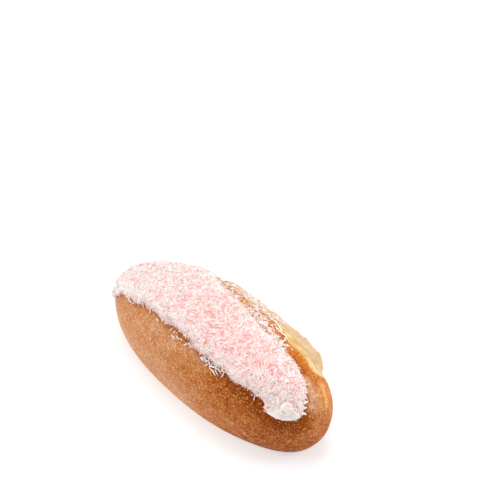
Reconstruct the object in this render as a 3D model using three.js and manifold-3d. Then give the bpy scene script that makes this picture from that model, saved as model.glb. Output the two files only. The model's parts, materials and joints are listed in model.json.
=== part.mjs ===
// An iced finger bun: a long soft roll under a tongue of pink icing covered in shredded coconut.
// Millimetres, +Z up, +X along the bun towards its bare end, the torn side on +Y.
// Two closed solids: the bun, and the icing that lies over its top and its far end.
// Shreds of coconut are joined to the solid that they lie on.

import * as THREE from "three";
import { mergeVertices } from "three/addons/utils/BufferGeometryUtils.js";
import Module from "manifold-3d";

const { lerp, smoothstep, degToRad } = THREE.MathUtils;

// ---- Driving dimensions ----------------------------------------------------------------------

const LENGTH = 150; // bun, end to end
const WIDTH = 58.4; // crust to crust, without the torn side's bulge
const HEIGHT = 50; // table to the top of the crust
const ICING_THICKNESS = 4.2; // icing and its coat of coconut
const GAP = 0.35; // between the icing's underside and the crust

// The bun's form. A bluntness of 2 is an ellipse, and more is squarer.
const WAIST = 0.42; // height of the widest line, as a share of HEIGHT
const BLUNTNESS = { nearTop: 2.42, nearLow: 2.28, farTop: 2.13, farLow: 2.25, section: 2.16 };
const BELLY = 1.88; // how much deeper the lower half would hang, if the base didn't cut it flat
const BASE_ROUNDING = 4; // half the height over which the side turns into the flat base
const END_BLEND = 0.5; // lengthwise share of a direction over which the far end becomes the near one
const TOP_BLEND = 0.35; // upward share over which the lower half becomes the upper one
const END_DRIFT = { near: 2.1, far: -1, from: 0.2 }; // sideways lean of each end
const SWELL = { size: 0.4, pitch: 62, phase: 1.3, endFade: 6 }; // slow unevenness of the dough

// The torn side, where the bun was pulled from the next one in the tray. Along the bun, -1 is its
// far end and 1 its bare end.
const TORN = { from: -0.45, to: 0.655, farFade: 0.24, nearFade: 0.06, bulge: 6.1 };
const CRAG = { size: 0.55, pitch: 7, phase: 0.6 }; // roughness of the torn side
const TORN_ACROSS = { lowest: 0.1, full: 0.6 }; // sideways share of a direction, bare to torn
const TORN_UNDER_TOP = { full: 0.6, highest: 0.95 }; // upward share, torn to bare

// The icing's place, in degrees: along the bun from its bare end (0) over the top (90) to the far
// end (180), and across it from the top line, plus towards +Y.
const ICING = {
  nearTip: 22.4,
  farTip: 181.5,
  bluntness: { near: 2.6, far: 6.5 }, // of the outline's two ends
  middle: { near: -23, far: 4.5, from: 0, to: 162 },
  half: { near: 20.5, far: 36, from: -10, to: 145 },
  hook: { size: 7, at: 36.5, reach: 9 }, // the near tip bends away from the torn side
  neck: { size: 2.2, at: 34, reach: 14 }, // and is narrower behind
  waves: [
    { size: 1.2, rate: 0.23, smoothSide: 2.2, tornSide: 0.4 },
    { size: 0.7, rate: 0.51, smoothSide: 4.4, tornSide: 0.8 },
  ],
};
const ICING_THINNING = { from: 105, to: 175, share: 0.24 }; // towards its far tip
const ICING_EDGE = 1.5; // height of its blunt side
const ICING_DOME = { bluntness: 8, rise: 0.4 }; // how flat its top is and how steeply it rises
const ICING_LUMPS = [
  { size: 0.07, pitch: 13, phase: 0.9 },
  { size: 0.07, pitch: 29, phase: 2.7 },
];

// Coconut shreds: only the largest.
const SHRED = { shortest: 3, longest: 4.6, width: 0.85, thickness: 0.8, tilt: 0.17 };
const SHRED_TAPER = { most: 0.4, least: 0.8 }; // width of the narrow end, as a share
const SHREDS_ON_ICING = 150;
const SHRED_MARGIN = 0.93; // share of the icing that carries whole shreds
// Patches of loose coconut on the crust beside the icing: from and to are shares along the icing,
// -1 at its far tip and 1 at its near one, and start and reach are degrees out from its edge.
const CRUST_PATCHES = [
  { side: 1, from: -0.12, to: 0.56, start: 6, reach: 14, count: 40 },
  { side: 1, from: 0.56, to: 0.74, start: 6, reach: 5, count: 3 },
  { side: -1, from: -0.58, to: -0.24, start: 6, reach: 5, count: 6 },
  { side: -1, from: 0.05, to: 0.52, start: 6, reach: 6, count: 11 },
];

// Mesh fineness.
const BUN_RINGS = 46;
const BUN_SIDES = 36;
const ICING_ROWS = 50;
const ICING_COLUMNS = 12;
const RIM_CROWDING = 0.7; // 0 spaces the icing's rows evenly, 1 crowds them towards its rim

// ---- Helpers ---------------------------------------------------------------------------------

// A repeatable random source (mulberry32).
function randomFrom(seed) {
  let state = seed;
  return () => {
    state = (state + 0x6d2b79f5) | 0;
    let mixed = Math.imul(state ^ (state >>> 15), 1 | state);
    mixed = (mixed + Math.imul(mixed ^ (mixed >>> 7), 61 | mixed)) ^ mixed;
    return ((mixed ^ (mixed >>> 14)) >>> 0) / 4294967296;
  };
}

// The nth point of an even, unpatterned spread over the unit square.
function evenSpread(n) {
  return [(0.5 + n * 0.7548776662) % 1, (0.5 + n * 0.569840291) % 1];
}

// Three waves that cross each other, so that together they show no direction of their own.
const CROSSING_WAVES = [
  { heading: new THREE.Vector3(0.9, 0.3, 0.3), lag: 1 },
  { heading: new THREE.Vector3(-0.5, 0.8, 0.4), lag: 2.1 },
  { heading: new THREE.Vector3(-0.45, -0.75, 0.5), lag: 3.7 },
];

// An unevenness from -size to size at a point, with the given pitch in mm.
function ripple(point, { size, pitch, phase }) {
  let sum = 0;
  for (const { heading, lag } of CROSSING_WAVES) {
    sum += Math.sin((2 * Math.PI * heading.dot(point)) / pitch + lag * phase);
  }
  return (size * sum) / CROSSING_WAVES.length;
}

// ---- The bun's crust -------------------------------------------------------------------------

// Height that never goes below the table, rounded where it meets it.
function restOnTable(z) {
  if (z <= -BASE_ROUNDING) return 0;
  if (z >= BASE_ROUNDING) return z;
  return (z + BASE_ROUNDING) ** 2 / (4 * BASE_ROUNDING);
}

// How far a direction lies in the torn side, from 0 to 1.
function tornShare(direction, along) {
  const { from, to, farFade, nearFade } = TORN;
  const begins = smoothstep(along, from - farFade, from + farFade);
  const ends = 1 - smoothstep(along, to - nearFade, to + nearFade);
  const sideways = smoothstep(direction.y, TORN_ACROSS.lowest, TORN_ACROSS.full);
  const underTop = 1 - smoothstep(direction.z, TORN_UNDER_TOP.full, TORN_UNDER_TOP.highest);
  return begins * ends * sideways * underTop;
}

// The point of the crust in a direction from the bun's middle.
function crustPoint(direction) {
  const near = smoothstep(direction.x, -END_BLEND, END_BLEND);
  const top = smoothstep(direction.z, -TOP_BLEND, TOP_BLEND);
  const nearBluntness = lerp(BLUNTNESS.nearLow, BLUNTNESS.nearTop, top);
  const farBluntness = lerp(BLUNTNESS.farLow, BLUNTNESS.farTop, top);
  const blunt = lerp(farBluntness, nearBluntness, near);
  const { section } = BLUNTNESS;
  const sideways = (Math.abs(direction.y) ** section + Math.abs(direction.z) ** section) ** (1 / section);
  const reach = (Math.abs(direction.x) ** blunt + sideways ** blunt) ** (-1 / blunt);

  const waist = WAIST * HEIGHT;
  const depth = direction.z > 0 ? HEIGHT - waist : waist * BELLY;
  const point = new THREE.Vector3(
    (direction.x * reach * LENGTH) / 2,
    (direction.y * reach * WIDTH) / 2,
    waist + direction.z * reach * depth,
  );
  const along = point.x / (LENGTH / 2);
  point.y += END_DRIFT.near * smoothstep(along, END_DRIFT.from, 1);
  point.y += END_DRIFT.far * smoothstep(-along, END_DRIFT.from, 1);

  const swell = ripple(point, SWELL) * (1 - Math.abs(along) ** SWELL.endFade);
  point.addScaledVector(direction, swell);
  point.y += tornShare(direction, along) * (TORN.bulge + ripple(point, CRAG));
  point.z = restOnTable(point.z);
  return point;
}

// The direction at the icing's two angles: along the bun, and across it.
function direction(alongDegrees, acrossDegrees) {
  const along = degToRad(alongDegrees);
  const across = degToRad(acrossDegrees);
  return new THREE.Vector3(
    Math.cos(across) * Math.cos(along),
    Math.sin(across),
    Math.cos(across) * Math.sin(along),
  );
}

// The crust's outward normal at the icing's two angles.
function crustNormal(along, across) {
  const at = (moreAlong, moreAcross) => crustPoint(direction(along + moreAlong, across + moreAcross));
  const step = 0.5; // degrees
  const lengthwise = at(step, 0).sub(at(-step, 0));
  const sideways = at(0, step).sub(at(0, -step));
  return sideways.cross(lengthwise).normalize();
}

function bunGeometry() {
  // The ball's poles turn to the bun's two ends.
  const ball = new THREE.SphereGeometry(1, BUN_SIDES, BUN_RINGS).rotateZ(-Math.PI / 2);
  return reshaped(ball, crustPoint);
}

// A geometry with each vertex moved by a function, and only its positions kept.
function reshaped(geometry, move) {
  geometry.deleteAttribute("normal");
  geometry.deleteAttribute("uv");
  const merged = mergeVertices(geometry, 1e-6);
  const positions = merged.getAttribute("position");
  const vertex = new THREE.Vector3();
  for (let i = 0; i < positions.count; i++) {
    const moved = move(vertex.fromBufferAttribute(positions, i).clone());
    positions.setXYZ(i, moved.x, moved.y, moved.z);
  }
  return merged;
}

// ---- The icing -------------------------------------------------------------------------------

// The icing is laid out on a round disc: x runs along it, to 1 at its near tip, and y across it.

// The place on the disc of a point of the square from -1 to 1.
function discPoint(x, y) {
  return [x * Math.sqrt(1 - (y * y) / 2), y * Math.sqrt(1 - (x * x) / 2)];
}

// Where a point of the disc lies on the crust, in degrees along and across the bun. The disc's
// edge goes to the icing's outline.
function icingPlace(x, y) {
  const { nearTip, farTip, bluntness, middle, half, hook, neck, waves } = ICING;
  const radius = Math.hypot(x, y) || 1;
  const near = smoothstep(x / radius, -END_BLEND, END_BLEND);
  const blunt = lerp(bluntness.far, bluntness.near, near);
  const corner = Math.abs(x / radius) ** blunt + Math.abs(y / radius) ** blunt;
  const stretch = (corner || 1) ** (-1 / blunt);

  const along = lerp(farTip, nearTip, (x * stretch + 1) / 2);
  let centre = lerp(middle.near, middle.far, smoothstep(along, middle.from, middle.to));
  let wide = lerp(half.near, half.far, smoothstep(along, half.from, half.to));
  const bent = (along - hook.at) / hook.reach;
  centre += hook.size * bent * Math.exp((-bent * bent) / 2);
  wide -= neck.size * Math.exp(-(((along - neck.at) / neck.reach) ** 2));
  for (const { size, rate, smoothSide, tornSide } of waves) {
    wide += size * Math.sin(along * rate + (y > 0 ? tornSide : smoothSide));
  }
  return { along, across: centre + y * stretch * wide };
}

// The point at a height over the crust, above a point of the disc.
function icingPoint(x, y, height) {
  const { along, across } = icingPlace(x, y);
  const point = crustPoint(direction(along, across));
  return point.addScaledVector(crustNormal(along, across), height);
}

// The icing's thickness: a blunt side, rising to a broad dome with slow lumps.
function icingHeight(x, y) {
  const rim = Math.min(1, Math.hypot(x, y));
  const dome = (1 - rim ** ICING_DOME.bluntness) ** ICING_DOME.rise;
  const point = icingPoint(x, y, 0);
  let lumps = 1;
  for (const lump of ICING_LUMPS) lumps += ripple(point, lump);
  const { from, to, share } = ICING_THINNING;
  const thinning = lerp(1, share, smoothstep(icingPlace(x, y).along, from, to));
  const full = ICING_THICKNESS * thinning * lumps;
  return lerp(Math.min(ICING_EDGE, full), full, dome);
}

function icingTop(x, y) {
  return icingPoint(x, y, GAP + icingHeight(x, y));
}

function crowded(share) {
  return lerp(share, Math.sin((share * Math.PI) / 2), RIM_CROWDING);
}

function icingGeometry() {
  // A slab whose upper face becomes the icing's top and whose lower face lies along the crust.
  const slab = new THREE.BoxGeometry(2, 2, 2, ICING_ROWS, ICING_COLUMNS, 1);
  return reshaped(slab, (vertex) => {
    const [x, y] = discPoint(crowded(vertex.x), crowded(vertex.y));
    return vertex.z > 0 ? icingTop(x, y) : icingPoint(x, y, GAP);
  });
}

// ---- Coconut ---------------------------------------------------------------------------------

// One shred lying on a point, half sunk, turned and tilted by random amounts.
function shredGeometry(place, normal, random) {
  const length = lerp(SHRED.shortest, SHRED.longest, random());
  const taper = lerp(SHRED_TAPER.most, SHRED_TAPER.least, random());
  const shred = reshaped(new THREE.BoxGeometry(length, SHRED.width, SHRED.thickness), (vertex) => {
    if (vertex.x > 0) vertex.y *= taper;
    return vertex;
  });
  const turned = (x, y, z, angle) =>
    new THREE.Quaternion().setFromAxisAngle(new THREE.Vector3(x, y, z), angle);
  const upright = new THREE.Quaternion().setFromUnitVectors(new THREE.Vector3(0, 0, 1), normal);
  const heading = turned(0, 0, 1, random() * 2 * Math.PI);
  const tilt = turned(0, 1, 0, lerp(-SHRED.tilt, SHRED.tilt, random()));
  shred.applyQuaternion(upright.multiply(heading).multiply(tilt));
  return shred.translate(place.x, place.y, place.z);
}

function shredsOnIcing() {
  const random = randomFrom(11);
  const step = 0.01; // share of the icing over which its slope is taken
  return Array.from({ length: SHREDS_ON_ICING }, (_, n) => {
    const [acrossSquare, alongSquare] = evenSpread(n).map((share) =>
      lerp(-SHRED_MARGIN, SHRED_MARGIN, share),
    );
    const [x, y] = discPoint(alongSquare, acrossSquare);
    const place = icingTop(x, y);
    const ahead = icingTop(x + step, y).sub(place);
    const beside = icingTop(x, y + step).sub(place);
    return shredGeometry(place, ahead.cross(beside).normalize(), random);
  });
}

function shredsOnCrust() {
  const random = randomFrom(29);
  return CRUST_PATCHES.flatMap(({ side, from, to, start, reach, count }) =>
    Array.from({ length: count }, (_, n) => {
      const [lengthwise, sideways] = evenSpread(n);
      const x = lerp(from, to, lengthwise);
      const edge = icingPlace(x, side * Math.sqrt(1 - x * x));
      const across = edge.across + side * (start + reach * sideways);
      const place = crustPoint(direction(edge.along, across));
      return shredGeometry(place, crustNormal(edge.along, across), random);
    }),
  );
}

// ---- Joining ---------------------------------------------------------------------------------

const wasm = await Module();
wasm.setup();

function solidOf(geometry) {
  const vertProperties = new Float32Array(geometry.getAttribute("position").array);
  const triVerts = new Uint32Array(geometry.index.array);
  return new wasm.Manifold(new wasm.Mesh({ numProp: 3, vertProperties, triVerts }));
}

function geometryOf(solid) {
  const { vertProperties, triVerts } = solid.getMesh();
  return new THREE.BufferGeometry()
    .setAttribute("position", new THREE.BufferAttribute(vertProperties, 3))
    .setIndex(new THREE.BufferAttribute(triVerts, 1));
}

// The base with every shred joined to it. A shred that doesn't touch it is dropped.
function joined(base, shreds) {
  let whole = solidOf(base);
  for (const shred of shreds) whole = whole.add(solidOf(shred));
  const [largest] = whole.decompose().sort((a, b) => b.volume() - a.volume());
  return geometryOf(largest);
}

// ---- The model -------------------------------------------------------------------------------

const crustMaterial = new THREE.MeshStandardMaterial({ color: 0xbb784c, roughness: 0.5, metalness: 0 });
const icingMaterial = new THREE.MeshStandardMaterial({ color: 0xf5dbd5, roughness: 0.7, metalness: 0 });

const bun = new THREE.Mesh(joined(bunGeometry(), shredsOnCrust()), crustMaterial);
bun.name = "bun";

const icing = new THREE.Mesh(joined(icingGeometry(), shredsOnIcing()), icingMaterial);
icing.name = "icing";

const icedFingerBun = new THREE.Group();
icedFingerBun.add(bun, icing);

// The origin is under the middle of the whole thing, on the table.
const box = new THREE.Box3().setFromObject(icedFingerBun);
const middle = box.getCenter(new THREE.Vector3());
icedFingerBun.position.set(-middle.x, -middle.y, 0);

export default icedFingerBun;
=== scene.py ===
"""The looks of an iced finger bun: its crust, its icing and its coat of shredded coconut.

The shape follows the same rules and sizes as the solids that it dresses. Lengths are in mm in the
bun's own frame, which has the bun's middle at x 0, and become metres in the row frame when a mesh
is made.
"""

import itertools
import json
import math

import bpy
import numpy as np
from mathutils import Matrix, Vector, noise

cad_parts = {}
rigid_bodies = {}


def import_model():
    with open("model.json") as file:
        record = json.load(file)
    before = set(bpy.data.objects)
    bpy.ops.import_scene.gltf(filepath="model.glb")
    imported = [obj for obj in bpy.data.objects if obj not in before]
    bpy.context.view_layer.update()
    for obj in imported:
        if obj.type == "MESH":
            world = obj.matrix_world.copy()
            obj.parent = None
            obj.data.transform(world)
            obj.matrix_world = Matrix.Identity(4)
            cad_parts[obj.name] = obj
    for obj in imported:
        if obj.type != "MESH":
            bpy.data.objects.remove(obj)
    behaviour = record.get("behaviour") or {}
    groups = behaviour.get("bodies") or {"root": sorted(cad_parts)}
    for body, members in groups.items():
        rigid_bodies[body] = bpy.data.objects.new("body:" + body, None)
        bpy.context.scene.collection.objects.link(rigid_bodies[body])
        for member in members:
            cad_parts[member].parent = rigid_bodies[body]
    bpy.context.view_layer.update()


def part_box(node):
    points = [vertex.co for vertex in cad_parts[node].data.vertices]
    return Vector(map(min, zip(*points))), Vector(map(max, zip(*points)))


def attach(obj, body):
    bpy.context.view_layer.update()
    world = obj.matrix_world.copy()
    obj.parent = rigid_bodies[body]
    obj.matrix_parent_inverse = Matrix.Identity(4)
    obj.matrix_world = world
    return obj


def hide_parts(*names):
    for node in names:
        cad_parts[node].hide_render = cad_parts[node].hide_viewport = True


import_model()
scene = bpy.context.scene

MM = 0.001

# ---- Sizes of the bun and its icing ----------------------------------------------------------

LENGTH, WIDTH, HEIGHT = 150, 58.4, 50
ICING_THICKNESS = 4.2  # icing and its coat of coconut
GAP = 0.35  # between the icing's underside and the crust
WAIST = 0.42  # height of the widest line, as a share of HEIGHT
BLUNT = {"near_top": 2.42, "near_low": 2.28, "far_top": 2.13, "far_low": 2.25, "section": 2.16}
BELLY = 1.88
BASE_ROUNDING = 4
END_BLEND, TOP_BLEND = 0.5, 0.35
DRIFT = {"near": 2.1, "far": -1, "from": 0.2}
SWELL = {"size": 0.4, "pitch": 62, "phase": 1.3}
SWELL_END_FADE = 6
TORN = {"from": -0.45, "to": 0.655, "far_fade": 0.24, "near_fade": 0.06, "bulge": 6.1}
CRAG = {"size": 0.55, "pitch": 7, "phase": 0.6}
TORN_ACROSS = (0.1, 0.6)
TORN_UNDER_TOP = (0.6, 0.95)

# The icing's place, in degrees along the bun from its bare end over the top, and across it.
ICING = {
    "near_tip": 22.4,
    "far_tip": 181.5,
    "blunt": {"near": 2.6, "far": 6.5},
    "middle": {"near": -23, "far": 4.5, "from": 0, "to": 162},
    "half": {"near": 20.5, "far": 36, "from": -10, "to": 145},
    "hook": {"size": 7, "at": 36.5, "reach": 9},
    "neck": {"size": 2.2, "at": 34, "reach": 14},
    "waves": [
        {"size": 1.2, "rate": 0.23, "smooth_side": 2.2, "torn_side": 0.4},
        {"size": 0.7, "rate": 0.51, "smooth_side": 4.4, "torn_side": 0.8},
    ],
}
THINNING = {"from": 105, "to": 175, "share": 0.24}
ICING_EDGE = 1.5
DOME = {"blunt": 8, "rise": 0.4}
LUMPS = [
    {"size": 0.07, "pitch": 13, "phase": 0.9},
    {"size": 0.07, "pitch": 29, "phase": 2.7},
]
COAT_DEPTH = 0.85  # of the coconut that lies on the icing, out of ICING_THICKNESS

CROSSING_WAVES = [
    ((0.9, 0.3, 0.3), 1),
    ((-0.5, 0.8, 0.4), 2.1),
    ((-0.45, -0.75, 0.5), 3.7),
]


# ---- Shape rules -----------------------------------------------------------------------------


def mix(a, b, share):
    return a + (b - a) * share


def smooth(value, low, high):
    share = np.clip((value - low) / (high - low), 0, 1)
    return share * share * (3 - 2 * share)


def unit(vectors):
    return vectors / np.maximum(np.linalg.norm(vectors, axis=-1, keepdims=True), 1e-9)


def ripple(points, size, pitch, phase):
    total = 0
    for heading, lag in CROSSING_WAVES:
        total = total + np.sin(2 * np.pi * (points @ np.array(heading)) / pitch + lag * phase)
    return size * total / len(CROSSING_WAVES)


def cloud(points, pitch, octaves=1):
    """Random unevenness, mostly from -0.5 to 0.5, with the given pitch in mm."""
    rows = (points.reshape(-1, 3) / pitch).tolist()
    if octaves == 1:
        values = [noise.noise(row) for row in rows]
    else:
        values = [noise.fractal(row, 1.0, 2.0, octaves) for row in rows]
    return np.array(values).reshape(points.shape[:-1])


def rest_on_table(z):
    rounded = (z + BASE_ROUNDING) ** 2 / (4 * BASE_ROUNDING)
    return np.where(z <= -BASE_ROUNDING, 0, np.where(z >= BASE_ROUNDING, z, rounded))


def torn_share(directions, along):
    """How far a direction lies in the torn side, from 0 to 1."""
    begins = smooth(along, TORN["from"] - TORN["far_fade"], TORN["from"] + TORN["far_fade"])
    ends = 1 - smooth(along, TORN["to"] - TORN["near_fade"], TORN["to"] + TORN["near_fade"])
    sideways = smooth(directions[..., 1], *TORN_ACROSS)
    under_top = 1 - smooth(directions[..., 2], *TORN_UNDER_TOP)
    return begins * ends * sideways * under_top


def crust_point(directions):
    """The points of the crust in some directions from the bun's middle."""
    x, y, z = np.moveaxis(directions, -1, 0)
    near = smooth(x, -END_BLEND, END_BLEND)
    top = smooth(z, -TOP_BLEND, TOP_BLEND)
    near_blunt = mix(BLUNT["near_low"], BLUNT["near_top"], top)
    far_blunt = mix(BLUNT["far_low"], BLUNT["far_top"], top)
    blunt = mix(far_blunt, near_blunt, near)
    section = BLUNT["section"]
    sideways = (np.abs(y) ** section + np.abs(z) ** section) ** (1 / section)
    reach = (np.abs(x) ** blunt + sideways**blunt) ** (-1 / blunt)

    waist = WAIST * HEIGHT
    depth = np.where(z > 0, HEIGHT - waist, waist * BELLY)
    points = np.stack(
        [x * reach * LENGTH / 2, y * reach * WIDTH / 2, waist + z * reach * depth], axis=-1
    )
    along = points[..., 0] / (LENGTH / 2)
    points[..., 1] += DRIFT["near"] * smooth(along, DRIFT["from"], 1)
    points[..., 1] += DRIFT["far"] * smooth(-along, DRIFT["from"], 1)
    swell = ripple(points, **SWELL) * (1 - np.abs(along) ** SWELL_END_FADE)
    points += directions * swell[..., None]
    points[..., 1] += torn_share(directions, along) * (TORN["bulge"] + ripple(points, **CRAG))
    points[..., 2] = rest_on_table(points[..., 2])
    return points


def direction(along, across):
    """Directions at the icing's two angles, in degrees."""
    along, across = np.radians(along), np.radians(across)
    return np.stack(
        [np.cos(across) * np.cos(along), np.sin(across), np.cos(across) * np.sin(along)], axis=-1
    )


def crust_at(along, across):
    return crust_point(direction(along, across))


def crust_normal(along, across, step=0.5):
    lengthwise = crust_at(along + step, across) - crust_at(along - step, across)
    sideways = crust_at(along, across + step) - crust_at(along, across - step)
    return unit(np.cross(sideways, lengthwise))


def icing_place(x, y):
    """Degrees along and across the bun, for points of a round disc whose edge is the icing's."""
    radius = np.hypot(x, y)
    radius = np.where(radius == 0, 1, radius)
    near = smooth(x / radius, -END_BLEND, END_BLEND)
    blunt = mix(ICING["blunt"]["far"], ICING["blunt"]["near"], near)
    corner = np.abs(x / radius) ** blunt + np.abs(y / radius) ** blunt
    stretch = np.where(corner == 0, 1, corner) ** (-1 / blunt)
    along = mix(ICING["far_tip"], ICING["near_tip"], (x * stretch + 1) / 2)
    middle, half = ICING["middle"], ICING["half"]
    centre = mix(middle["near"], middle["far"], smooth(along, middle["from"], middle["to"]))
    wide = mix(half["near"], half["far"], smooth(along, half["from"], half["to"]))
    hook, neck = ICING["hook"], ICING["neck"]
    bent = (along - hook["at"]) / hook["reach"]
    centre = centre + hook["size"] * bent * np.exp(-(bent**2) / 2)
    wide = wide - neck["size"] * np.exp(-(((along - neck["at"]) / neck["reach"]) ** 2))
    for wave in ICING["waves"]:
        lag = np.where(y > 0, wave["torn_side"], wave["smooth_side"])
        wide = wide + wave["size"] * np.sin(along * wave["rate"] + lag)
    return along, centre + y * stretch * wide


def icing_height(x, y, thickness):
    """The icing's thickness at points of its disc: a blunt side and a broad, lumpy dome."""
    rim = np.minimum(1, np.hypot(x, y))
    dome = (1 - rim ** DOME["blunt"]) ** DOME["rise"]
    along, across = icing_place(x, y)
    points = crust_at(along, across)
    lumps = 1 + sum(ripple(points, **lump) for lump in LUMPS)
    thinning = mix(1, THINNING["share"], smooth(along, THINNING["from"], THINNING["to"]))
    full = thickness * thinning * lumps
    return mix(np.minimum(ICING_EDGE, full), full, dome)


# ---- Meshes ----------------------------------------------------------------------------------

shift = Vector((0, 0, 0))  # from the bun's own frame to the row frame, in mm


def mesh_object(name, points, faces, **point_values):
    """A smooth mesh object from points in mm, with one named number at each point."""
    mesh = bpy.data.meshes.new(name)
    placed = (points.reshape(-1, 3) + np.array(shift)) * MM
    mesh.from_pydata(placed.tolist(), [], faces)
    mesh.update()
    for key, values in point_values.items():
        layer = mesh.attributes.new(key, "FLOAT", "POINT")
        layer.data.foreach_set("value", np.asarray(values, dtype=float).ravel())
    mesh.shade_smooth()
    made = bpy.data.objects.new(name, mesh)
    scene.collection.objects.link(made)
    return made


def grid_faces(rows, columns, wrap=False):
    """Quads over a grid of points numbered row by row, closed sideways if wrap is set."""
    index = np.arange(rows * columns).reshape(rows, columns)
    if wrap:
        index = np.concatenate([index, index[:, :1]], axis=1)
    corners = (index[:-1, :-1], index[:-1, 1:], index[1:, 1:], index[1:, :-1])
    return np.stack(corners, axis=-1).reshape(-1, 4).tolist()


def grid_normals(grid):
    """Normals of a grid of points whose columns close on themselves."""
    down = np.gradient(grid, axis=0)
    round_ = np.roll(grid, -1, axis=1) - np.roll(grid, 1, axis=1)
    return unit(np.cross(down, round_))


# ---- Crust -----------------------------------------------------------------------------------

CRUST_RINGS, CRUST_SIDES = ((286, 330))
POLE_MARGIN = 0.004  # radians between a pole and its nearest ring


def crust_grid():
    """Directions for rings that are evenly spaced along the crust, from the bare end."""
    fine = np.linspace(POLE_MARGIN, math.pi - POLE_MARGIN, 4001)
    top = crust_point(np.stack([np.cos(fine), 0 * fine, np.sin(fine)], axis=-1))
    side = crust_point(np.stack([np.cos(fine), -np.sin(fine), 0 * fine], axis=-1))
    steps = sum(np.linalg.norm(np.diff(line, axis=0), axis=-1) for line in (top, side))
    length = np.concatenate([[0], np.cumsum(steps)])
    angles = np.interp(np.linspace(0, length[-1], CRUST_RINGS), length, fine)
    turns = np.arange(CRUST_SIDES) * 2 * math.pi / CRUST_SIDES
    sideways = np.sin(angles)[:, None]
    return np.stack(
        [
            np.broadcast_to(np.cos(angles)[:, None], (CRUST_RINGS, CRUST_SIDES)),
            sideways * np.cos(turns),
            sideways * np.sin(turns),
        ],
        axis=-1,
    )


# Where the pale torn side begins: how far out from the middle line, at shares along the bun.
TORN_EDGE = {
    "along": (-0.7, -0.26, 0.1, 0.23, 0.34, 0.44, 0.53, 0.61, 0.74, 0.8),
    "out": (24.5, 22.0, 22.2, 20.4, 18.6, 17.0, 15.8, 15.1, 13.8, 15.0),
}

# The rest of the torn side's outline, in shares of the bun's half length and of its height. It is
# square above its bottom's height, and rounded and ragged below.
TORN_PATCH = {
    "middle": 0.0,
    "half": 0.88,
    "square_over": 0.5,
    "depth": 0.4,
    "blunt": 4,
    "ragged": {"size": 0.1, "pitch": 11},
    "rim": (0.92, 1.04),
    "far_end": (-0.78, -0.5),
    "near_end": (0.76, 0.82),
}

# The torn side begins as a smooth skin that was covered in the oven, and then turns into open
# crumb: where each begins and is whole, in mm beyond the edge, and how uneven that line is.
SKIN = {"beyond": (-1.2, 2.0), "uneven": 1.6, "pitch": 3, "stretch": (0.35, 1, 1)}
CRUMB = {"beyond": (3.2, 4.6), "uneven": 1.5, "pitch": 6}

# The surface's fine relief: pitches and heights in mm. Stretched ones run along the bun.
FIBRES = {"pitch": 1.4, "stretch": (0.3, 1, 1), "height": 0.55}
COARSE_FIBRES = {"pitch": 3.2, "stretch": (0.5, 1, 1), "share": 0.8}
HOLES = {"pitch": 2.2, "least": 0.18, "depth": 1.4}
CRUMB_SUNK = 0.1
WRINKLES = {"pitch": 3.4, "stretch": (0.8, 1, 1), "height": 0.05}
DENTS = {"pitch": 9, "height": 0.1}
FLAT_FOOT = 3  # mm over the table where the relief is whole

# How dark the crust is, from about 0 to 1: mostly how it is baked, with painted shade and painted
# light in its bands and a painted sheen where the far end is paler. Its least, what each place adds
# or takes off, and between which shares of the height or of the half length that place begins and
# is whole.
BAKE_AND_SHADING = {
    "least": 0.32,
    "top": {"adds": 0.1, "height": (0.3, 0.9)},
    # Paler towards the far end, where the pale, pinkish crust is partly a painted sheen on the far
    # flank.
    "bare_end": {"adds": 0.46, "along": (-0.25, 0.85)},
    "low_rim": {"adds": (-0.06, 0.12), "along": (0, 0.6), "height": (0.02, 0.34)},
    "shoulder": {"takes": 0.24},
    "bands": {"dark": 0.26, "light": 0.26},
    "uneven": {"size": 0.1, "pitch": 24},
}

# The shoulder over the torn side: mm out from the middle line, shares of the height, and how much
# less it shows far off, and at the bare end.
SHOULDER = {
    "out": (0, 14),
    "height": (0.3, 0.65),
    "far": {"share": 0.35, "along": (-0.1, 0.4)},
    "bare_end": {"share": 0.4, "along": (0.6, 0.85)},
}

# Loose coconut beside the icing, apart from the single shreds below. Each band on the crust gives
# the degrees along and across of points that it runs through, its reach to each side in mm, and
# its strength.
LOOSE_BANDS = [
    # On the torn side, over the shoulder.
    (((112, 38), (103, 41.6), (92.4, 43.8), (81.6, 42.4), (74, 41.2), (69.5, 41.2)), 3.6, 0.9),
    (((114, 33), (106, 32), (99.6, 32.2), (92.8, 34.8), (85.6, 34.6), (79.2, 32.4)), 3.2, 0.75),
    (((104, 29), (95, 29.5), (86, 29.5), (79, 28)), 2.4, 0.75),
    (((80, 33), (76, 32)), 1.8, 0.8),
    (((79, 28.8), (72.4, 25.6), (68, 22.6), (63.8, 19.8), (59.6, 16.2)), 1.8, 2.1),
    # On the smooth side, under the icing's edge.
    (((90, -44), (85, -42.8)), 1.0, 0.5),
    (((79, -41.4), (76, -43)), 1.2, 1.0),
    (((73, -43), (69, -43.4), (65, -42.4), (61, -41)), 1.2, 0.6),
]
LOOSE_EDGE = 4  # how sharply a band of loose coconut ends
CLUMPS = {"mean": 0.95, "uneven": 2.4, "pitch": 2.2, "most": 2}

# Pale dust and smears of icing on the crust. The last band, on the smooth flank under the icing, is
# a painted pinkish sheen.
DUST_AND_SHEEN_BANDS = [
    (((41, 7.4), (37.6, 6.4), (33.8, 4.4), (30.6, 1), (27.6, -3.4)), 2.5, 1.0),
    (((31, 4), (27, 2), (24, -1)), 3.2, 0.6),
    (((84.4, -48.5), (78.8, -49.4), (71.8, -50.5)), 2.6, 0.4),
    (((118, -46), (100, -50), (84, -50)), 4.0, 0.2),
]

# Golden streaks on the torn side's near shoulder.
GOLDEN_BANDS = [
    (((31.2, 21.2), (28, 17.4), (23.6, 15.2), (20.6, 12.8)), 1.5, 0.7),
    (((33, 14), (29.2, 10), (25.4, 6.4)), 0.9, 0.3),
]

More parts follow.
